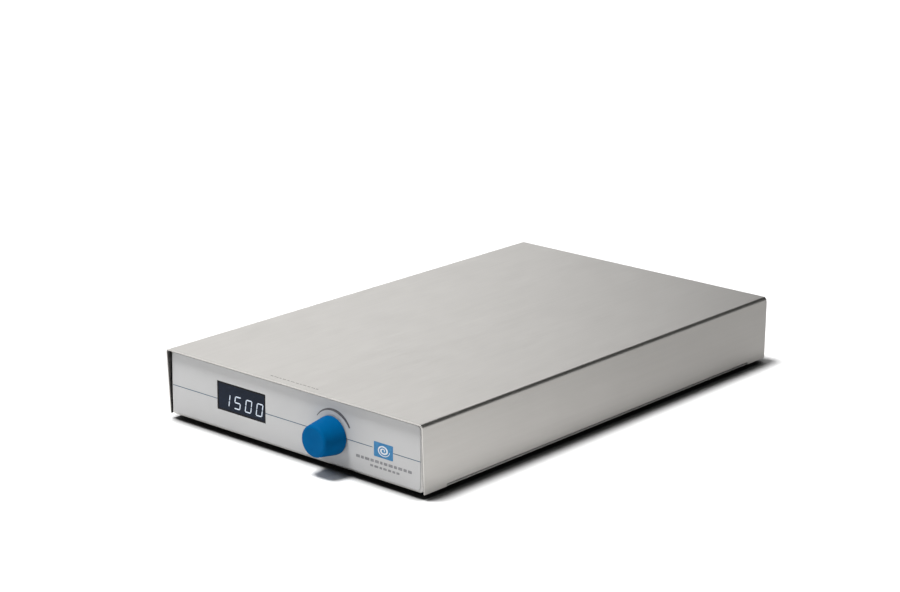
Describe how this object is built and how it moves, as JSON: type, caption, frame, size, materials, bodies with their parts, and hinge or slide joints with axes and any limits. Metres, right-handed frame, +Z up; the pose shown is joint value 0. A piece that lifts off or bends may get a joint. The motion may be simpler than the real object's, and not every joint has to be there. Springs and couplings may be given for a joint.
{
  "type": "magnetic stirrer",
  "caption": "Flat multi-position magnetic stirrer: folded stainless hood on a base tray, display and speed knob in front, belt-driven magnet rotors inside.",
  "frame": {"origin": "centre of the whole outline, knob and inlet included, on the table plane that the feet stand on", "axes": "+X to the right along the front panel, +Y to the back, +Z up"},
  "size_m": [0.232, 0.4024, 0.0505],
  "materials": {
    "zinc_steel": "bright zinc",
    "stainless": "brushed",
    "plate_aluminium": "milled",
    "belt_rubber": "matte",
    "circuit_board": "semi-gloss",
    "wire_sheath": "satin",
    "electronic_parts": "matte",
    "display_body": "matte",
    "filter_pane": "gloss",
    "contact_brass": "satin",
    "overlay_film": "satin",
    "fuse_glass": "clear",
    "black_plastic": "satin",
    "carrier_plastic": "matte",
    "motor_case": "satin",
    "shaft_steel": "ground",
    "bearing_steel": "ground",
    "magnet_nickel": "nickel plated",
    "foot_rubber": "matte",
    "knob_blue": "satin"
  },
  "bodies": {
    "case": {"base_screws": "zinc_steel", "base_tray": "stainless", "bearing_housings": "plate_aluminium", "board_spacers": "zinc_steel", "column_belt_front_left": "belt_rubber", "column_belt_front_right": "belt_rubber", "column_belt_rear_left": "belt_rubber", "column_belt_rear_right": "belt_rubber", "control_board": "circuit_board", "control_cables": "wire_sheath", "control_components": "electronic_parts", "display_module": "display_body", "display_window": "filter_pane", "earth_stud": "contact_brass", "feet_screws": "zinc_steel", "front_overlay": "overlay_film", "hood": "stainless", "inlet_pins": "contact_brass", "inner_screws": "zinc_steel", "mains_inlet": "black_plastic", "mains_wires": "wire_sheath", "mechanism_plate": "plate_aluminium", "motor_belt_left": "belt_rubber", "motor_belt_right": "belt_rubber", "motor_housing": "motor_case", "plate_pillars": "zinc_steel", "potentiometer": "bearing_steel", "potentiometer_nut": "zinc_steel", "power_board": "circuit_board", "power_components": "electronic_parts", "rear_screws": "zinc_steel", "rubber_feet": "foot_rubber", "spindle_bearings": "bearing_steel", "switch_frame": "black_plastic"},
    "speed_knob": {"speed_knob": "knob_blue", "potentiometer_shaft": "shaft_steel"},
    "motor_rotor": {"motor_rotor": "shaft_steel", "motor_pulley": "plate_aluminium"},
    "power_rocker": {"switch_rocker": "black_plastic"},
    "fuse_drawer": {"fuse_drawer": "black_plastic", "fuse": "fuse_glass"},
    "stirring_rotor_front_left": {"rotor_shaft_front_left": "shaft_steel", "magnet_carrier_front_left": "carrier_plastic", "rotor_magnets_front_left": "magnet_nickel"},
    "stirring_rotor_front_right": {"rotor_shaft_front_right": "shaft_steel", "magnet_carrier_front_right": "carrier_plastic", "rotor_magnets_front_right": "magnet_nickel"},
    "stirring_rotor_middle_left": {"rotor_shaft_middle_left": "shaft_steel", "magnet_carrier_middle_left": "carrier_plastic", "rotor_magnets_middle_left": "magnet_nickel"},
    "stirring_rotor_middle_right": {"rotor_shaft_middle_right": "shaft_steel", "magnet_carrier_middle_right": "carrier_plastic", "rotor_magnets_middle_right": "magnet_nickel"},
    "stirring_rotor_rear_left": {"rotor_shaft_rear_left": "shaft_steel", "magnet_carrier_rear_left": "carrier_plastic", "rotor_magnets_rear_left": "magnet_nickel"},
    "stirring_rotor_rear_right": {"rotor_shaft_rear_right": "shaft_steel", "magnet_carrier_rear_right": "carrier_plastic", "rotor_magnets_rear_right": "magnet_nickel"}
  },
  "joints": [
    {"name": "knob_turn", "type": "hinge", "parent": "case", "child": "speed_knob", "pos_m": [0.0372, -0.1827, 0.025], "axis": [0, -1, 0], "range_deg": [0, 270]},
    {"name": "motor_spin", "type": "hinge", "parent": "case", "child": "motor_rotor", "pos_m": [0, 0.006, 0.026], "axis": [0, 0, 1], "continuous": true},
    {"name": "rocker_tilt", "type": "hinge", "parent": "case", "child": "power_rocker", "pos_m": [0.024, 0.195, 0.024], "axis": [1, 0, 0], "range_deg": [-24, 0]},
    {"name": "fuse_drawer_slide", "type": "slide", "parent": "case", "child": "fuse_drawer", "axis": [0, 1, 0], "range_m": [0, 0.017]},
    {"name": "rotor_spin_front_left", "type": "hinge", "parent": "case", "child": "stirring_rotor_front_left", "pos_m": [-0.055, -0.094, 0.03], "axis": [0, 0, 1], "continuous": true},
    {"name": "rotor_spin_front_right", "type": "hinge", "parent": "case", "child": "stirring_rotor_front_right", "pos_m": [0.055, -0.094, 0.03], "axis": [0, 0, 1], "continuous": true},
    {"name": "rotor_spin_middle_left", "type": "hinge", "parent": "case", "child": "stirring_rotor_middle_left", "pos_m": [-0.055, 0.006, 0.03], "axis": [0, 0, 1], "continuous": true},
    {"name": "rotor_spin_middle_right", "type": "hinge", "parent": "case", "child": "stirring_rotor_middle_right", "pos_m": [0.055, 0.006, 0.03], "axis": [0, 0, 1], "continuous": true},
    {"name": "rotor_spin_rear_left", "type": "hinge", "parent": "case", "child": "stirring_rotor_rear_left", "pos_m": [-0.055, 0.106, 0.03], "axis": [0, 0, 1], "continuous": true},
    {"name": "rotor_spin_rear_right", "type": "hinge", "parent": "case", "child": "stirring_rotor_rear_right", "pos_m": [0.055, 0.106, 0.03], "axis": [0, 0, 1], "continuous": true}
  ],
  "couplings": [
    {"joint": "rotor_spin_front_left", "follows": "motor_spin", "ratio": 0.5},
    {"joint": "rotor_spin_front_right", "follows": "motor_spin", "ratio": 0.5},
    {"joint": "rotor_spin_middle_left", "follows": "motor_spin", "ratio": 0.5},
    {"joint": "rotor_spin_middle_right", "follows": "motor_spin", "ratio": 0.5},
    {"joint": "rotor_spin_rear_left", "follows": "motor_spin", "ratio": 0.5},
    {"joint": "rotor_spin_rear_right", "follows": "motor_spin", "ratio": 0.5}
  ]
}
